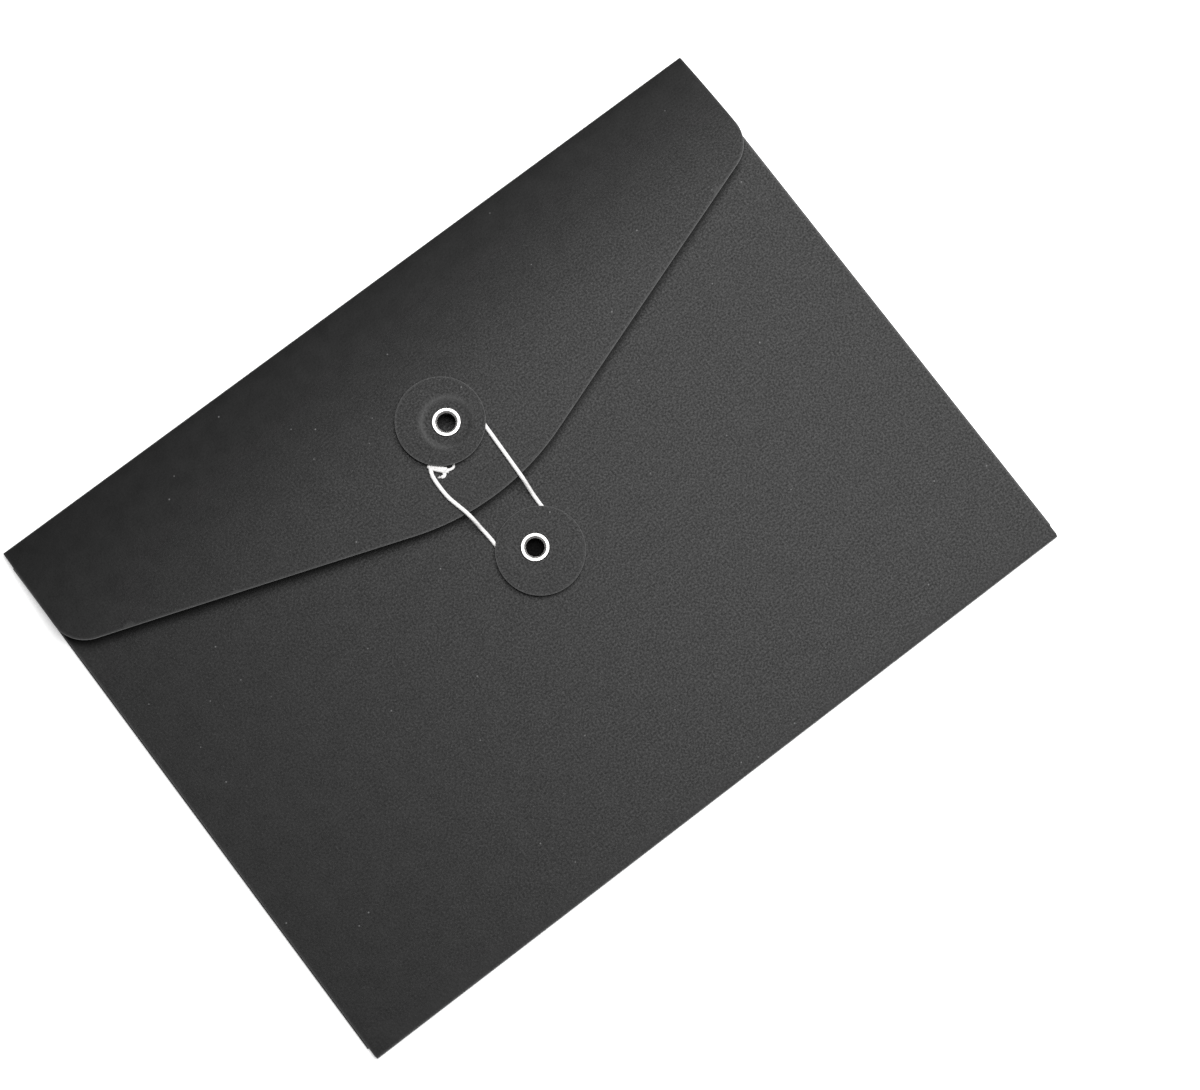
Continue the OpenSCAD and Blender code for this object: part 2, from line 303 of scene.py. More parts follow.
def card_material(name, tone, wear_and_highlight_tone, gloss):
    """Black card: felt grain, faint clouds, short fibres, pale flecks, and worn paleness at folds and ends,
    partly painted highlight on the flap's lower edge and the bottom fold.
    """
    n = Nodes(name)
    flat = n.add("UVMap", uv_map="blank").outputs["UV"]
    grain = n.noise(flat, GRAIN_SCALE, roughness=0.65)
    cloud = n.noise(flat, CLOUD_SCALE, roughness=0.6)
    fibres = [n.noise(n.stretch(flat, FIBRE_SCALE, turn), 1, detail=2) for turn in FIBRE_TURNS]
    fibre = n.math("MAXIMUM", *[n.ramp(strand, 0.64, 0.8) for strand in fibres])
    cell = n.add("TexVoronoi", {"Vector": flat, "Scale": FLECK_SCALE, "Randomness": 1.0})
    chance = n.add("SeparateColor", {"Color": cell.outputs["Color"]}).outputs[0]
    pick = n.math("GREATER_THAN", chance, FLECKED_ABOVE)
    fleck = n.math("MULTIPLY", n.ramp(cell.outputs["Distance"], 0.06, 0.03), pick)
    # Paleness from wear, and partly painted highlight on the flap's lower edge, the bottom fold and the
    # buttons' pressed rings
    wear = n.math("MULTIPLY", n.point_value("wear"), n.ramp(grain, 0.2, 0.55))
    shade = n.math("ADD", n.ramp(grain, 0.35, 0.65, 0.45, -0.45), n.ramp(cloud, 0.3, 0.7, -0.3, 0.3))
    shade = n.math("ADD", shade, n.math("MULTIPLY", fibre, 0.35))
    colour = n.mix(n.ramp(shade, -0.5, 0.9), grey(tone * 0.5), grey(tone * 1.9))
    colour = n.mix(wear, colour, grey(wear_and_highlight_tone))
    colour = n.mix(n.math("MULTIPLY", fleck, 0.7), colour, grey(wear_and_highlight_tone * 1.6))
    fine_felt = n.noise(flat, FINE_FELT_SCALE, detail=2)
    felt = n.math("MULTIPLY", n.noise(flat, FELT_SCALE, detail=2), 1.5)
    return n.surface(
        Base_Color=colour,
        Roughness=n.ramp(grain, 0.35, 0.65, 0.34, 0.62),
        Specular_IOR_Level=gloss,
        Normal=n.bump(n.math("ADD", fine_felt, felt), strength=0.5, distance=0.00006),
    )


def edge_material(name, tone):
    """The cut edge of card: paler, with fine layers along the sheet."""
    n = Nodes(name)
    layers = n.noise(n.stretch(n.place(), (900, 900, 9000)), 1)
    return n.surface(
        Base_Color=n.mix(layers, grey(tone * 0.7), grey(tone * 1.4)),
        Roughness=0.9,
        Specular_IOR_Level=0.2,
        Normal=n.bump(layers, strength=0.4, distance=0.00005),
    )


def metal_material(name):
    """Bright metal: soft smears, fine rub marks, and a bore painted almost black as shade."""
    n = Nodes(name)
    place = n.place()
    smear = n.noise(place, 400)
    rub = n.noise(n.stretch(place, (9000, 700, 3000), turn=0.4), 1, detail=2)
    bright = n.mix(n.ramp(smear, 0.35, 0.75), grey(0.5, 0.01), grey(0.4, 0.02))
    # Inside the bore the metal is painted near black: painted shade deep in the barrel
    return n.surface(
        Base_Color=n.mix(n.point_value("dull"), bright, grey(0.03)),
        Metallic=1.0,
        Roughness=n.ramp(smear, 0.3, 0.7, 0.28, 0.42),
        Normal=n.bump(rub, strength=0.08, distance=0.00003),
    )


def string_material(name):
    """White cotton: matt, with a soft fuzz and painted shade darkening the hollows between the strands."""
    n = Nodes(name)
    place = n.place()
    fuzz = n.noise(place, 5200)
    stain = n.noise(place, 120, detail=2)
    clean = n.mix(n.ramp(stain, 0.3, 0.7), grey(0.92, 0.008), grey(0.86, 0.014))
    # Painted shade: the hollows between the twisted strands are darkened
    hollow_shade = n.math("MULTIPLY", n.point_value("hollow"), 0.35)
    colour = n.mix(hollow_shade, clean, grey(0.5, 0.025))
    return n.surface(
        Base_Color=n.mix(n.ramp(fuzz, 0.55, 0.8, 0.0, 0.25), colour, grey(0.95)),
        Roughness=0.9,
        Specular_IOR_Level=0.2,
        Sheen_Weight=0.3,
        Sheen_Roughness=0.5,
        Normal=n.bump(fuzz, strength=0.5, distance=0.00008),
    )


def glue_material(name):
    """Dried white glue: glossy, uneven and slightly yellow."""
    n = Nodes(name)
    pool = n.noise(n.place(), 260)
    return n.surface(
        Base_Color=n.mix(pool, (0.72, 0.66, 0.5, 1), (0.82, 0.8, 0.7, 1)),
        Roughness=n.ramp(pool, 0.3, 0.7, 0.25, 0.5),
        Normal=n.bump(pool, strength=0.3, distance=0.0002),
    )


CARD = card_material("black_card", tone=0.0082, wear_and_highlight_tone=0.11, gloss=0.23)
# Near-black, almost glossless card for the back's inner face deep in the pocket: painted shade, so the
# eyelet bores look black
POCKET_SHADE_CARD = card_material("pocket_inside_painted_shade", tone=0.003, wear_and_highlight_tone=0.01, gloss=0.012)
BUTTON_CARD = card_material("button_card", tone=0.0085, wear_and_highlight_tone=0.11, gloss=0.225)
CARD_EDGE = edge_material("card_edge", tone=0.13)
METAL = metal_material("eyelet_metal")
COTTON = string_material("cotton_string")
GLUE = glue_material("dried_glue")


# Mesh building
def make_object(name, points, faces, materials, face_materials=None, sharp=38):
    """A smooth mesh from points in millimetres, creased where faces turn by over sharp degrees."""
    mesh = bpy.data.meshes.new(name)
    mesh.from_pydata([Vector(p) * MM for p in points], [], faces)
    for material in materials:
        mesh.materials.append(material)
    if face_materials:
        mesh.polygons.foreach_set("material_index", face_materials)
    work = bmesh.new()
    work.from_mesh(mesh)
    bmesh.ops.recalc_face_normals(work, faces=work.faces)
    work.to_mesh(mesh)
    work.free()
    mesh.shade_smooth()
    mesh.set_sharp_from_angle(angle=math.radians(sharp))
    obj = bpy.data.objects.new(name, mesh)
    bpy.context.collection.objects.link(obj)
    return obj


def set_point_value(obj, name, values):
    obj.data.attributes.new(name, "FLOAT", "POINT").data.foreach_set("value", values)


def set_flat_uv(obj, flat):
    """Keeps each point's place on the flat blank, in metres, as its texture place."""
    layer = obj.data.uv_layers.new(name="blank")
    for loop in obj.data.loops:
        layer.data[loop.index].uv = Vector(flat[loop.vertex_index]) * MM


def arc(centre, radius, start, end, steps):
    """Points on an arc, its last one left out."""
    angles = [start + (end - start) * i / steps for i in range(steps)]
    x, y = centre
    return [Vector((x + radius * math.cos(a), y + radius * math.sin(a))) for a in angles]


def inset(loop, distances):
    """Moves each point of a loop to its left, by its own distance."""
    moved = []
    for i, here in enumerate(loop):
        ahead = (loop[(i + 1) % len(loop)] - here).normalized()
        behind = (here - loop[i - 1]).normalized()
        side = Vector((-ahead.y - behind.y, ahead.x + behind.x))
        moved.append(here + side * (distances[i] / (1 + ahead.dot(behind))))
    return moved


def mirrored(side):
    """A right side's points on the left, in reverse order."""
    return [Vector((-p.x, p.y)) for p in reversed(side)]


def card_sheet(name, loops, inner, fold, creases, joined, wear, hole=None, shaded_in_pocket=None):
    """A sheet of card. loops are its cut lines on the flat blank, the outer one counter-clockwise and a
    hole's clockwise; inner are points between them. fold(u, v) gives a point's folded place and outward
    direction, creases are the first and last v of a fold, joined(u, v) tells the lines where the sheet
    runs on into another, the wear function how pale each point is, partly as painted highlight, and the
    pocket function what of its back lies deep in the pocket, whose faces take near-black card as painted
    shade."""
    rims = []
    flat = []
    edges = []
    for loop in loops:
        start = len(flat)
        flat += inset(loop, [0 if joined(*p) else CUT_SOFT for p in loop])
        rims.append(list(range(start, len(flat))))
        edges += [(start + i, start + (i + 1) % len(loop)) for i in range(len(loop))]
    for loop in loops:
        row = inset(loop, [CUT_ROW] * len(loop))
        flat += [near_cut for cut, near_cut in zip(loop, row) if not joined(*cut)]
    flat += inner
    first, last = creases
    spread = 25
    inside_only = 1
    tolerance = 1e-7

    def widened(p):
        """A fold's close rows are drawn apart, so that the triangles between them stay even."""
        return Vector((p.x, p.y + spread * (min(max(p.y, first), last) - first)))

    spots = [widened(p) for p in flat]
    _, _, triangles, origin, _, _ = delaunay_2d_cdt(spots, edges, [], inside_only, tolerance)
    index = {}
    for new, olds in enumerate(origin):
        for old in olds:
            index[old] = new
    out = [flat[olds[0]] for olds in origin]
    if hole:
        centre, radius = hole
        middles = [sum((out[i] for i in t), Vector((0, 0))) / 3 for t in triangles]
        triangles = [t for t, m in zip(triangles, middles) if (m - centre).length > radius]
    points = []
    blank = []

    def add(u, v, depth):
        place, normal = fold(u, v)
        points.append(place - normal * depth)
        blank.append((u, v))
        return len(points) - 1

    outer = [add(p.x, p.y, 0) for p in out]
    inner_skin = [add(p.x, p.y, CARD_T) for p in out]
    faces = [[outer[i] for i in t] for t in triangles]
    faces += [[inner_skin[i] for i in reversed(t)] for t in triangles]
    materials = [0] * len(faces)
    # Faces of the back deep in the pocket take the third material, near-black card as painted shade
    for i, t in enumerate(triangles):
        if shaded_in_pocket and all(shaded_in_pocket(*out[k]) for k in t):
            materials[len(triangles) + i] = 2
    for loop, rim in zip(loops, rims):
        rows = [[outer[index[i]] for i in rim]]
        rows += [[add(p.x, p.y, depth) for p in loop] for depth in (CUT_SOFT, CARD_T - CUT_SOFT)]
        rows.append([inner_skin[index[i]] for i in rim])
        for i, here in enumerate(loop):
            j = (i + 1) % len(loop)
            cut = 0 if joined(*here) and joined(*loop[j]) else 1
            for a, b in zip(rows, rows[1:]):
                faces.append([a[i], a[j], b[j], b[i]])
                materials.append(cut)
    obj = make_object(name, points, faces, [CARD, CARD_EDGE, POCKET_SHADE_CARD], materials)
    set_flat_uv(obj, blank)
    set_point_value(obj, "wear", [wear(u, v) for u, v in blank])
    return obj


def steps_between(low, high, size):
    """Evenly spaced values from low to high, about size apart."""
    count = max(1, round((high - low) / size))
    return [low + (high - low) * i / count for i in range(count + 1)]


def near(value, target, reach):
    """1 at the target, falling to 0 at a distance of reach."""
    return max(0.0, 1 - abs(value - target) / reach)


def bottom_line():
    """Points of the line where back and front meet at the bottom fold, its two ends left out."""
    return [Vector((x, 0)) for x in steps_between(-REAR_HALF_W, REAR_HALF_W, COLUMN_STEP)[1:-1]]


# The back panel, the flap's fold and the bowed flap, one sheet of card.
# On the blank, v runs up the back from the bottom fold, round the flap's fold and down the flap.
REAR_LENGTH = FOLD_Y - BOTTOM_Y
FOLD_LENGTH = FOLD_R * (math.pi - RISE)
FLAP_START = REAR_LENGTH + FOLD_LENGTH


def flap_v(y):
    """The blank's v of a place on the closed flap's bow."""
    return FLAP_START + BOW_R * (math.acos((y - BOW_Y) / BOW_R) - (QUARTER_TURN - RISE))


def fold_back_and_flap(u, v):
    if v < REAR_LENGTH:
        return Vector((u, BOTTOM_Y + v, 0)), Vector((0, 0, -1))
    if v < FLAP_START:
        turn = (v - REAR_LENGTH) / FOLD_R - QUARTER_TURN
        out = Vector((0, math.cos(turn), math.sin(turn)))
        return Vector((u, FOLD_Y, FOLD_R)) + out * FOLD_R, out
    turn = QUARTER_TURN - RISE + (v - FLAP_START) / BOW_R
    out = Vector((0, math.cos(turn), math.sin(turn)))
    return Vector((u, BOW_Y, BOW_Z)) + out * BOW_R, out


def flap_edge_y(x):
    """Where the flap's lower edge is, from above."""
    x = abs(x)
    lean = math.sin(SLOPE)
    if x < POINT_R * lean:
        return POINT_CY - math.sqrt(POINT_R**2 - x * x)
    if x < CORNER_X + CORNER_R * lean:
        return HALF_H - POINT_DEPTH + x * math.tan(SLOPE)
    return CORNER_Y - math.sqrt(max(0.0, CORNER_R**2 - (x - CORNER_X) ** 2))


def flap_outline():
    """The flap's right edge from above, from its rounded corner to just before its point."""
    lean = QUARTER_TURN - SLOPE
    slope_start = CORNER_X + CORNER_R * math.sin(SLOPE)
    slope_end = POINT_R * math.sin(SLOPE)
    plan = arc((CORNER_X, CORNER_Y), CORNER_R, 0, -lean, steps=14)
    for x in reversed(steps_between(slope_end, slope_start, FLAP_STEP)[1:]):
        plan.append(Vector((x, flap_edge_y(x))))
    return plan + arc((0, POINT_CY), POINT_R, -lean, -QUARTER_TURN, steps=9)


def make_back_and_flap():
    rear_rows = steps_between(0, REAR_LENGTH, REAR_STEP)
    fold_rows = steps_between(REAR_LENGTH, FLAP_START, FOLD_STEP)
    flap_rows = steps_between(FLAP_START, flap_v(TIP_Y), FLAP_STEP)
    columns = steps_between(-FLAP_HALF_W, FLAP_HALF_W, COLUMN_STEP)
    corner_v = flap_v(CORNER_Y)
    right = [Vector((REAR_HALF_W, v)) for v in rear_rows[:-1]]
    right += [Vector((FLAP_HALF_W, v)) for v in fold_rows]
    right += [Vector((FLAP_HALF_W, v)) for v in flap_rows[1:] if v < corner_v - CORNER_CLEAR]
    right += [Vector((p.x, flap_v(p.y))) for p in flap_outline()]
    tip = [Vector((0, flap_v(TIP_Y)))]
    eye = Vector((FLAP_EYELET[0], flap_v(FLAP_EYELET[1])))
    outline = right + tip + mirrored(right) + bottom_line()
    loops = [outline, arc(eye, HOLE_R, 0, -FULL_TURN, HOLE_SIDES)]
    inner = []
    for v in rear_rows[1:] + fold_rows[1:] + flap_rows[1:]:
        for x in columns[1:-1]:
            y = fold_back_and_flap(x, v)[0].y
            clear = v < FLAP_START or y > flap_edge_y(x) + EDGE_CLEAR
            if clear and (Vector((x, v)) - eye).length > HOLE_R + FLAP_HOLE_CLEAR:
                inner.append(Vector((x, v)))
    inner += arc(eye, HOLE_R + FLAP_HOLE_ROW, 0, FULL_TURN, HOLE_ROW_SIDES)

    def joined(u, v):
        beside_tab = TAB_BOTTOM_Y - REAR_STEP / 2 < BOTTOM_Y + v < TAB_TOP_Y + REAR_STEP / 2
        below_fold = v < REAR_LENGTH - 1
        on_side = abs(u) > REAR_HALF_W - TINY
        return v < TINY or (on_side and below_fold and beside_tab)

    def wear(u, v):
        crease = CREASE_RUB * near(v, REAR_LENGTH + FOLD_LENGTH / 2, CREASE_REACH)
        if v < REAR_LENGTH:
            return crease
        side = EDGE_RUB * near(abs(u), FLAP_HALF_W, EDGE_REACH)
        lower = 0.0
        # Along the flap's lower edge the card is paler: partly wear, partly painted highlight on the cut
        # edge
        if v > FLAP_START:
            y = fold_back_and_flap(u, v)[0].y
            lower = LOWER_EDGE_RUB_AND_HIGHLIGHT * near(y, flap_edge_y(u), LOWER_EDGE_REACH)
        return max(crease, side, lower)

    # What of the back lies deep in the pocket, where its inner face is painted near black as shade
    def shaded_in_pocket(u, v):
        return v < REAR_LENGTH - MOUTH_SHOWN

    creases = (REAR_LENGTH, FLAP_START)
    hole = (eye, HOLE_R)
    sheet = card_sheet(
        "card_back_and_flap", loops, inner, fold_back_and_flap, creases, joined, wear, hole, shaded_in_pocket)
    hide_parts("rear_panel", "rear_fold", "closure_flap")
    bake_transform(sheet)


# The front panel with the bottom fold that joins it to the back
BOTTOM_LENGTH = math.pi * BOTTOM_R


def fold_front(u, v):
    if v < BOTTOM_LENGTH:
        turn = -QUARTER_TURN - v / BOTTOM_R
        out = Vector((0, math.cos(turn), math.sin(turn)))
        return Vector((u, BOTTOM_Y, BOTTOM_R)) + out * BOTTOM_R, out
    return Vector((u, BOTTOM_Y + v - BOTTOM_LENGTH, FRONT_TOP)), Vector((0, 0, 1))


def make_front():
    top_v = BOTTOM_LENGTH + MOUTH_Y - BOTTOM_Y
    fold_rows = steps_between(0, BOTTOM_LENGTH, FOLD_STEP)
    panel_rows = steps_between(BOTTOM_LENGTH, top_v, FRONT_STEP)
    columns = steps_between(-FRONT_HALF_W, FRONT_HALF_W, FRONT_STEP)
    right = [Vector((REAR_HALF_W, v)) for v in fold_rows[:-1]]
    right += [Vector((FRONT_HALF_W, v)) for v in panel_rows]
    top = [Vector((x, top_v)) for x in reversed(columns[1:-1])]
    eye = Vector((FRONT_EYELET[0], BOTTOM_LENGTH + FRONT_EYELET[1] - BOTTOM_Y))
    outline = right + top + mirrored(right) + bottom_line()
    loops = [outline, arc(eye, HOLE_R, 0, -FULL_TURN, HOLE_SIDES)]
    inner = [Vector((x, v)) for v in fold_rows[1:] + panel_rows[1:-1] for x in columns[1:-1]]
    inner = [p for p in inner if (p - eye).length > HOLE_R + FRONT_HOLE_CLEAR]
    inner += arc(eye, HOLE_R + FRONT_HOLE_ROW, 0, FULL_TURN, HOLE_ROW_SIDES)

    def joined(u, v):
        return v < TINY

    def wear(u, v):
        edge = max(near(abs(u), FRONT_HALF_W, EDGE_REACH), near(v, top_v, EDGE_REACH))
        # The bottom fold's ridge is paler: partly wear, partly painted highlight
        return max(near(v, BOTTOM_LENGTH / 2 + BOTTOM_SHIFT, BOTTOM_REACH), EDGE_RUB * edge)

    creases = (0, BOTTOM_LENGTH)
    sheet = card_sheet("card_front", loops, inner, fold_front, creases, joined, wear, (eye, HOLE_R))
    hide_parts("front_panel", "bottom_fold")
    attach(sheet, "pocket")


# A side seam: the side fold and its glue tab inside the pocket
SIDE_LENGTH = math.pi * SIDE_R


def make_seam(name, side, fold_node, tab_node):
    end_v = SIDE_LENGTH + TAB_W
    rows = steps_between(0, SIDE_LENGTH, SEAM_STEP) + [SIDE_LENGTH + TAB_W / 2, end_v]

    def fold_seam(u, v):
        if v < SIDE_LENGTH:
            turn = v / SIDE_R - QUARTER_TURN
            out = Vector((side * math.cos(turn), 0, math.sin(turn)))
            return Vector((side * REAR_HALF_W, u, SIDE_R)) + out * SIDE_R, out
        return Vector((side * (REAR_HALF_W - v + SIDE_LENGTH), u, 2 * SIDE_R)), Vector((0, 0, 1))

    def taper(v):
        return TAB_TAPER * max(0.0, v - SIDE_LENGTH) / TAB_W

    lengths = steps_between(TAB_BOTTOM_Y, TAB_TOP_Y, REAR_STEP)
    far = steps_between(TAB_BOTTOM_Y + TAB_TAPER, TAB_TOP_Y - TAB_TAPER, REAR_STEP)
    loop = [Vector((u, 0)) for u in lengths[:-1]]
    loop += [Vector((TAB_TOP_Y - taper(v), v)) for v in rows]
    loop += [Vector((u, end_v)) for u in reversed(far[1:-1])]
    loop += [Vector((TAB_BOTTOM_Y + taper(v), v)) for v in reversed(rows[1:])]
    inner = [Vector((u, v)) for v in rows[1:-1] for u in far[1:-1]]

    def joined(u, v):
        return v < TINY

    def wear(u, v):
        return SEAM_RUB * near(v, SIDE_LENGTH / 2 + SEAM_SHIFT, SEAM_REACH)

    sheet = card_sheet(name, [loop], inner, fold_seam, (0, SIDE_LENGTH), joined, wear)
    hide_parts(fold_node, tab_node)
    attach(sheet, "pocket")


# Rings of points, joined into a skin
def join_rings(rings, loop_back=False, caps=False):
    """Points and faces of a skin through rings of equal length; loop_back joins the last to the first."""
    count = len(rings[0])
    points = [p for ring in rings for p in ring]
    faces = []
    pairs = list(zip(range(len(rings)), range(1, len(rings))))
    if loop_back:
        pairs.append((len(rings) - 1, 0))
    for a, b in pairs:
        for i in range(count):
            j = (i + 1) % count
            faces.append([a * count + i, a * count + j, b * count + j, b * count + i])
    if caps:
        faces.append(list(range(count)))
        faces.append([(len(rings) - 1) * count + i for i in range(count)])
    return points, faces


def add_capped_skin(points, faces, rings):
    """Adds a skin through the rings, closed at both ends, to lists of points and faces."""
    more, skin = join_rings(rings, caps=True)
    faces += [[i + len(points) for i in face] for face in skin]
    points += more


def lathe(profile, sides):
    """Rings of a [radius, height] profile turned about Z."""
    angles = [FULL_TURN * i / sides for i in range(sides)]
    return [[Vector((r * math.cos(a), r * math.sin(a), z)) for a in angles] for r, z in profile]


# A disc's drawing: the pressed step lies within the washer's edge; its pale ring is partly a rub and partly
# painted highlight, fading away towards the side turned from the light
DISC_SIDES = 144
DISC_SOFT = 0.1
DISC_ROWS = (5.4, 6.7)
RIM_SHARES = (0.15, 0.35, 0.55, 0.75, 0.9)
PRESS_START = SPACER_R - 2.4
PRESS_END = SPACER_R - 0.1
PRESS_STEPS = 8
RING_R = PRESS_END - 0.5
RING_CLEAR_TURN = math.radians(303)
RING_FADE = 0.9


def make_disc(name, node, body, seat, turn, press):
    """A card button hung off-centre on its eyelet; its middle is pressed in over the washer beneath."""
    middle = Vector((BUTTON_OFFSET * math.cos(turn), BUTTON_OFFSET * math.sin(turn)))

    def rim(angle):
        ahead = Vector((math.cos(angle), math.sin(angle)))
        along = middle.dot(ahead)
        return along + math.sqrt(along**2 - middle.length_squared + (BUTTON_D / 2) ** 2)

    # Each row is a radius, or else a share of the way out to the rim, and a height
    profile = [(r, 0, 0) for r in (HOLE_R + DISC_SOFT, *DISC_ROWS)]
    for i in range(PRESS_STEPS + 1):
        lift = press * (1 - math.cos(math.pi * i / PRESS_STEPS)) / 2
        profile.append((PRESS_START + (PRESS_END - PRESS_START) * i / PRESS_STEPS, 0, lift))
    profile += [(0, share, press) for share in RIM_SHARES]

    def ring(radius, share, height, back=0.0):
        points = []
        for i in range(DISC_SIDES):
            angle = FULL_TURN * i / DISC_SIDES
            r = radius or PRESS_END + share * (rim(angle) - PRESS_END) - back
            points.append(Vector((r * math.cos(angle), r * math.sin(angle), BUTTON_Z + height)))
        return points

    low, high = press, press + BUTTON_T
    cut = [(low, DISC_SOFT), (low + DISC_SOFT, 0), (high - DISC_SOFT, 0), (high, DISC_SOFT)]
    lower = [ring(*p) for p in profile]
    upper = [ring(r, share, z + BUTTON_T) for r, share, z in reversed(profile)]
    edge = [ring(0, 1, z, back) for z, back in cut]
    bore = [ring(HOLE_R, 0, z) for z in (BUTTON_T - DISC_SOFT, DISC_SOFT)]
    points, faces = join_rings(lower + edge + upper + bore, loop_back=True)
    # The cut edge is pale
    first = len(lower) * DISC_SIDES
    last = first + (len(edge) - 1) * DISC_SIDES
    pale = [1 if first <= face[0] < last else 0 for face in faces]

    def wear(p):
        r = math.hypot(p.x, p.y)
        angle = math.atan2(p.y, p.x)
        # The ring's paleness fades out on the side turned from the light: painted highlight on the lit side
        spread = min(1.0, (1 - math.cos(angle - RING_CLEAR_TURN)) / RING_FADE)
        pressed = RING_RUB_AND_HIGHLIGHT * spread * near(r, RING_R, RING_REACH) * press / FLAP_PRESS
        return max(RIM_RUB * near(r, rim(angle), RIM_REACH), pressed)

    obj = make_object(name, [seat @ p for p in points], faces, [BUTTON_CARD, CARD_EDGE], pale)
    set_flat_uv(obj, [(p.x, p.y) for p in points])
    set_point_value(obj, "wear", [wear(p) for p in points])
    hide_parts(node)
    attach(obj, body)


def make_washer(name, node, body, seat):
    """A thick card washer, its cut edge rounded and slightly bulged."""
    soft = 0.1
    bulge = 0.2
    sides = 96
    steps = 6
    middle_r = 7
    face_r = SPACER_R - 0.3
    low, high = SEAT_GAP, SEAT_GAP + SPACER_H
    profile = [(HOLE_R, low + soft), (HOLE_R + soft, low), (middle_r, low), (face_r, low)]
    for i in range(steps + 1):
        turn = math.pi * (i / steps - 0.5)
        r = SPACER_R - bulge + bulge * math.cos(turn)
        profile.append((r, (low + high) / 2 + SPACER_H / 2 * math.sin(turn)))
    profile += [(face_r, high), (middle_r, high), (HOLE_R + soft, high), (HOLE_R, high - soft)]
    points, faces = join_rings(lathe(profile, sides), loop_back=True)
    obj = make_object(name, [seat @ p for p in points], faces, [CARD_EDGE])
    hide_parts(node)
    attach(obj, body)


# An eyelet's drawing: its funnel ends and its rim starts at these shares of the flange's width
FUNNEL_SHARE = 0.36
FUNNEL_DROP = 0.27
RIM_SHARE = 0.84
FUNNEL_DEPTH = 0.6
RIM_LIFT = 0.05
RIM_BACK = 0.06
FLANGE_STEPS = 40
ROLL_STEPS = 6
PETAL_STEPS = 6
EYELET_SIDES = 96
BARREL_MIDDLE = -0.3


def make_eyelet(name, node, body, seat):
    """A hollow rivet: a rolled flange over the button, a barrel through the card, and an end that is split
    and rolled into petals."""
    rise = FLANGE_H - FLANGE_EDGE
    roll_z = PETAL_BOTTOM + ROLL_R

    def crown(share):
        """Height of the flange from its bore (0) to its rim (1): a funnel, a broad crest, a steep rim."""
        funnel = (1 + FUNNEL_DROP) * min(1.0, share / FUNNEL_SHARE) - FUNNEL_DROP
        rim = 1 - max(0.0, (share - RIM_SHARE) / (1 - RIM_SHARE)) ** 2
        return min(funnel, rim)

    def flange(share, depth):
        z = FLANGE_Z + FLANGE_EDGE + rise * crown(share) - depth
        return BORE_R + share * (FLANGE_R - BORE_R), max(FLANGE_Z, z)

    def roll(centre_r, radius, start):
        """A quarter turn about the middle of a roll."""
        angles = [start + QUARTER_TURN * i / ROLL_STEPS for i in range(ROLL_STEPS + 1)]
        return [(centre_r + radius * math.cos(a), roll_z + radius * math.sin(a)) for a in angles]

    profile = [(BORE_R, roll_z), (BORE_R, BARREL_MIDDLE), (BORE_R, FLANGE_Z - FUNNEL_DEPTH)]
    profile += [flange(i / FLANGE_STEPS, 0) for i in range(FLANGE_STEPS + 1)]
    profile += [(FLANGE_R, FLANGE_Z + RIM_LIFT), (FLANGE_R - RIM_BACK, FLANGE_Z)]
    profile += [flange(0.9 - 0.1 * i, METAL_T) for i in range(7)]
    profile += [(BARREL_R, FLANGE_Z), (BARREL_R, BARREL_MIDDLE), (BARREL_R, roll_z)]
    points, faces = join_rings(lathe(profile, EYELET_SIDES), loop_back=True)

    # A petal's section: its outer skin from the barrel out and up to the card, then its inner skin back
    near_r = BORE_R + ROLL_R
    far_r = PETAL_R - ROLL_R
    inner_roll = ROLL_R - METAL_T
    section = roll(near_r, ROLL_R, math.pi) + roll(far_r, ROLL_R, -QUARTER_TURN)
    section += [(PETAL_R, PETAL_TOP), (PETAL_R - METAL_T, PETAL_TOP)]
    section += reversed(roll(near_r, inner_roll, math.pi) + roll(far_r, inner_roll, -QUARTER_TURN))
    for k in range(PETALS):
        rings = []
        for step in range(PETAL_STEPS + 1):
            ring = []
            for r, z in section:
                share = (r - BORE_R) / (PETAL_R - BORE_R)
                gap = SPLIT_W + share * (SPLIT_TIP_W - SPLIT_W)
                reach = math.pi / PETALS - math.asin(gap / 2 / r)
                a = FULL_TURN * (k + 0.5) / PETALS + reach * (2 * step / PETAL_STEPS - 1)
                ring.append(Vector((r * math.cos(a), r * math.sin(a), z)))
            rings.append(ring)
        add_capped_skin(points, faces, rings)
    obj = make_object(name, [seat @ p for p in points], faces, [METAL], sharp=50)
    # Points inside the bore, below the flange, carry the painted bore shade
    bore = [math.hypot(p.x, p.y) < BORE_R + TINY and p.z < FLANGE_Z for p in points]
    set_point_value(obj, "dull", [float(inside) for inside in bore])
    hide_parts(node)
    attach(obj, body)


# The string's route, the same as the solid's. A span lists how far out the string lies and its share of
# the way up from the front eyelet; the knot and its tails are measured from the flap eyelet.
LEFT_SPAN = [
    (0, 0.1), (0, 0.2), (0.2, 0.265), (0.6, 0.318), (0.95, 0.363), (1.4, 0.411), (2, 0.467),
    (2.9, 0.529), (3.7, 0.588), (4, 0.641), (4.05, 0.691), (3.95, 0.741), (3.5, 0.787), (2.3, 0.832)]
END_SPAN = [(0.4, 0.92), (0.8, 0.86), (1.2, 0.815)]
RIGHT_SPAN_STEPS = 20
TURN_STEPS = 6
KNOT_AXIS = [(-11.1, -14.4), (-12.3, -13), (-13.6, -11.5), (-14.9, -9.8)]
FIRST_TAIL = [(-7.5, -14.6), (-8.4, -15.3), (-9.8, -15.2)]
SECOND_TAIL = [(-14.4, -15.4), (-13.3, -15.9), (-12.4, -15.1), (-12.5, -13.3)]
LOW_STRAND = [(a - 0.4, b - 0.55) for a, b in KNOT_AXIS] + [(-15.7, -8.9)]


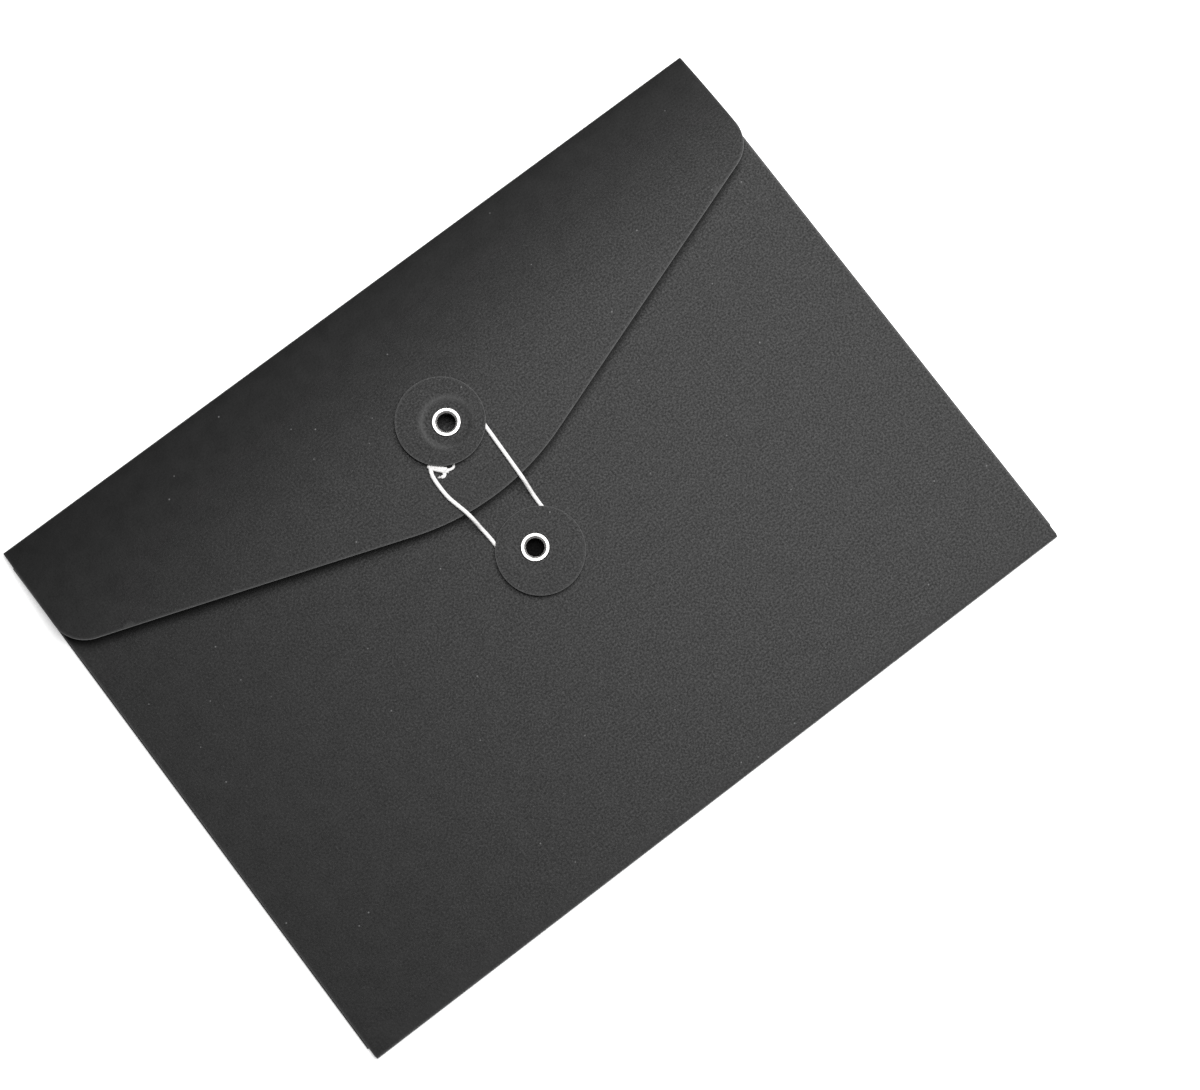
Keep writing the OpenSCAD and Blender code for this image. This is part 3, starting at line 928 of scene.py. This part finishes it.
def bed_z(y):
    """Height on which the string lies: the flap, a smooth drop past its point, then the front panel."""
    drop = max(0.0, min(1.0, (TIP_Y - y) / STRING_DROP))
    return FRONT_TOP + (flap_z(max(y, TIP_Y)) - FRONT_TOP) * (1 + math.cos(math.pi * drop)) / 2


def on_bed(x, y, r):
    return Vector((x, y, bed_z(y) + STRING_GAP + r))


def beside_eyelet(places, r):
    """Places that are measured from the flap eyelet, put on the string's bed."""
    x, y = FLAP_EYELET
    return [on_bed(x + a, y + b, r) for a, b in places]


def span_y(share):
    return FRONT_EYELET[1] + share * (FLAP_EYELET[1] - FRONT_EYELET[1])


def string_points():
    turn = [math.radians(180 * i / TURN_STEPS) for i in range(TURN_STEPS + 1)]
    right = [i / RIGHT_SPAN_STEPS for i in range(1, RIGHT_SPAN_STEPS)]
    x, y = FLAP_EYELET
    low_y = FRONT_EYELET[1]
    points = [on_bed(-TURN_R - out, span_y(share), STRING_R) for out, share in reversed(LEFT_SPAN)]
    points += [on_bed(-TURN_R * math.cos(a), low_y - TURN_R * math.sin(a), STRING_R) for a in turn]
    points += [on_bed(TURN_R + x * share, span_y(share), STRING_R) for share in right]
    points += [on_bed(x + TURN_R * math.cos(a), y + TURN_R * math.sin(a), STRING_R) for a in turn]
    points += [on_bed(x - TURN_R - out, span_y(share), STRING_R) for out, share in END_SPAN]
    return points


def smooth(points, count):
    """A smooth curve through the points, with count steps between two of them."""
    route = []
    for i in range(len(points) - 1):
        a, b = points[max(i - 1, 0)], points[i]
        c, d = points[i + 1], points[min(i + 2, len(points) - 1)]
        for k in range(count):
            t = k / count
            square = (2 * a - 5 * b + 4 * c - d) * t**2
            cube = (3 * b - a - 3 * c + d) * t**3
            route.append((2 * b + (c - a) * t + square + cube) / 2)
    return route + [points[-1]]


def across_and_up(route, i):
    """Two directions square to a route at its point i."""
    forward = (route[min(i + 1, len(route) - 1)] - route[max(i - 1, 0)]).normalized()
    across = forward.cross(Vector((0, 0, 1))).normalized()
    return across, across.cross(forward)


def twisted_tube(route, radius, strands, lay, sides, taper=0):
    """Rings and hollows of a cord of twisted strands. lay is the length of one turn of a strand, and taper
    the number of rings over which an end narrows."""
    rings = []
    hollows = []
    run = 0.0
    end_size = 0.35
    for i, here in enumerate(route):
        if i:
            run += (here - route[i - 1]).length
        across, up = across_and_up(route, i)
        shrink = 1.0
        if taper:
            shrink = min(1.0, end_size + (len(route) - 1 - i) / taper, end_size + i / taper)
        ring = []
        for k in range(sides):
            angle = FULL_TURN * k / sides
            lobe = abs(math.cos(strands / 2 * (angle - FULL_TURN * run / lay)))
            r = radius * shrink * (STRAND_LOW + STRAND_RISE * lobe)
            ring.append(here + (across * math.cos(angle) + up * math.sin(angle)) * r)
            hollows.append((1 - lobe) ** 2)
        rings.append(ring)
    return rings, hollows


def make_string():
    route = smooth(string_points(), STRING_STEPS)
    rings, hollows = twisted_tube(route, STRING_R, STRANDS, STRING_LAY, sides=18)
    points, faces = join_rings(rings, caps=True)
    string = make_object("tie_loop", points, faces, [COTTON], sharp=70)
    set_point_value(string, "hollow", hollows)
    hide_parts("tie_string")
    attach(string, "flap")
    length = sum((b - a).length for a, b in zip(route, route[1:]))
    knot = make_knot()


# Fibres that fray from the first end of each of the knot's strands, and how far along and out they bend
FRAYS = 6
FRAY_TURN = 2.4
FRAY_R = 0.09
FRAY_START = 0.12
FRAY_BENDS = ((0.45, 0.12), (0.8, 0.4))


def frayed_fibres(route):
    """Rings of thin fibres that spread from the start of a strand."""
    away = (route[0] - route[2]).normalized()
    fibres = []
    for k in range(FRAYS):
        angle = k * FRAY_TURN
        lean = Vector((math.cos(angle), math.sin(angle), 0.4 * math.sin(2 * angle)))
        base = route[1] + lean * FRAY_START
        bends = [base + away * along + lean * out for along, out in FRAY_BENDS]
        fibre = smooth([base] + bends, FRAY_STEPS)
        fibres.append(twisted_tube(fibre, FRAY_R, strands=1, lay=9.0, sides=6)[0])
    return fibres


def make_knot():
    """A wrapped knot beside the flap button's rim, with two short curled tails that fray at their ends."""
    core = smooth(beside_eyelet(KNOT_AXIS, KNOT_R), CORE_STEPS)
    coil = []
    for i, here in enumerate(core):
        across, up = across_and_up(core, i)
        angle = FULL_TURN * WRAPS * i / (len(core) - 1) - QUARTER_TURN
        coil.append(here + (across * math.cos(angle) + up * math.sin(angle)) * (KNOT_R - WRAP_R))
    first = smooth(beside_eyelet(FIRST_TAIL, TAIL_R) + [coil[0]], TAIL_STEPS)[:-1]
    second = smooth(beside_eyelet(SECOND_TAIL, TAIL_R) + core[30:60:10], TAIL_STEPS)
    low = smooth(beside_eyelet(LOW_STRAND, LOW_R), LOW_STEPS)
    points = []
    faces = []
    hollows = []
    for route, radius in ((first + coil, WRAP_R), (second, SECOND_R), (core, CORE_R), (low, LOW_R)):
        rings, hollow = twisted_tube(route, radius, STRANDS, KNOT_LAY, sides=12, taper=5)
        add_capped_skin(points, faces, rings)
        hollows += hollow
        for fibre in frayed_fibres(route):
            add_capped_skin(points, faces, fibre)
        hollows += [0.0] * (len(points) - len(hollows))
    knot = make_object("tie_knot", points, faces, [COTTON], sharp=70)
    set_point_value(knot, "hollow", hollows)
    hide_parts("string_knot")
    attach(knot, "flap")
    return knot


# Floor and light, in metres; the world's glow is stronger at the horizon than overhead
FLOOR_REACH = 3.0
FLOOR_Z = -0.0002
FLOOR_GLOW = 0.45
HORIZON_GLOW = 0.6
HORIZON_HEIGHT = 0.05
OVERHEAD_GLOW = 0.09
OVERHEAD_HEIGHT = 0.5
SOFTBOX_AT = (0.36, 0.07, 1.0)
SOFTBOX_SIZE = 0.9
SOFTBOX_POWER = 18.0


def make_floor():
    n = Nodes("floor_paper")
    n.surface(
        Base_Color=n.mix(n.noise(n.place(), 6, detail=2), grey(0.88), grey(0.9)),
        Roughness=0.9,
        Specular_IOR_Level=0.1,
        Emission_Color=(1, 1, 1, 1),
        Emission_Strength=FLOOR_GLOW,
    )
    mesh = bpy.data.meshes.new("floor")
    signs = ((-1, -1), (1, -1), (1, 1), (-1, 1))
    corners = [(FLOOR_REACH * x, FLOOR_REACH * y, FLOOR_Z) for x, y in signs]
    mesh.from_pydata(corners, [], [(0, 1, 2, 3)])
    mesh.materials.append(n.material)
    floor = bpy.data.objects.new("floor", mesh)
    bpy.context.collection.objects.link(floor)


def make_light():
    world = bpy.data.worlds.new("studio")
    world.use_nodes = True
    nodes = world.node_tree.nodes
    links = world.node_tree.links
    facing = nodes.new("ShaderNodeTexCoord")
    split = nodes.new("ShaderNodeSeparateXYZ")
    level = nodes.new("ShaderNodeMapRange")
    level.inputs["From Min"].default_value = HORIZON_HEIGHT
    level.inputs["From Max"].default_value = OVERHEAD_HEIGHT
    level.inputs["To Min"].default_value = HORIZON_GLOW
    level.inputs["To Max"].default_value = OVERHEAD_GLOW
    links.new(facing.outputs["Generated"], split.inputs["Vector"])
    links.new(split.outputs["Z"], level.inputs["Value"])
    links.new(level.outputs["Result"], nodes["Background"].inputs["Strength"])
    nodes["Background"].inputs["Color"].default_value = (1, 1, 1, 1)
    bpy.context.scene.world = world
    data = bpy.data.lights.new("softbox", "AREA")
    data.shape = "SQUARE"
    data.size = SOFTBOX_SIZE
    data.energy = SOFTBOX_POWER
    light = bpy.data.objects.new("softbox", data)
    light.location = SOFTBOX_AT
    light.rotation_euler = (-Vector(SOFTBOX_AT)).to_track_quat("-Z", "Y").to_euler()
    bpy.context.collection.objects.link(light)
    bpy.context.scene.view_settings.view_transform = "Standard"


place_camera()
make_string()
make_back_and_flap()
make_front()
make_seam("left_seam", -1, "left_side_fold", "left_glue_tab")
make_seam("right_seam", 1, "right_side_fold", "right_glue_tab")
make_disc("flap_disc_card", "flap_button", "flap_disc", AT_FLAP, FLAP_TURN, FLAP_PRESS)
make_disc("front_disc_card", "front_button", "front_disc", AT_FRONT, FRONT_TURN, FRONT_PRESS)
make_washer("flap_washer", "flap_spacer", "flap_disc", AT_FLAP)
make_washer("front_washer", "front_spacer", "front_disc", AT_FRONT)
make_eyelet("flap_rivet", "flap_eyelet", "flap", AT_FLAP)
make_eyelet("front_rivet", "front_eyelet", "pocket", AT_FRONT)
for strip in ("left_glue_strip", "right_glue_strip"):
    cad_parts[strip].data.materials.clear()
    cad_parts[strip].data.materials.append(GLUE)
make_floor()
make_light()
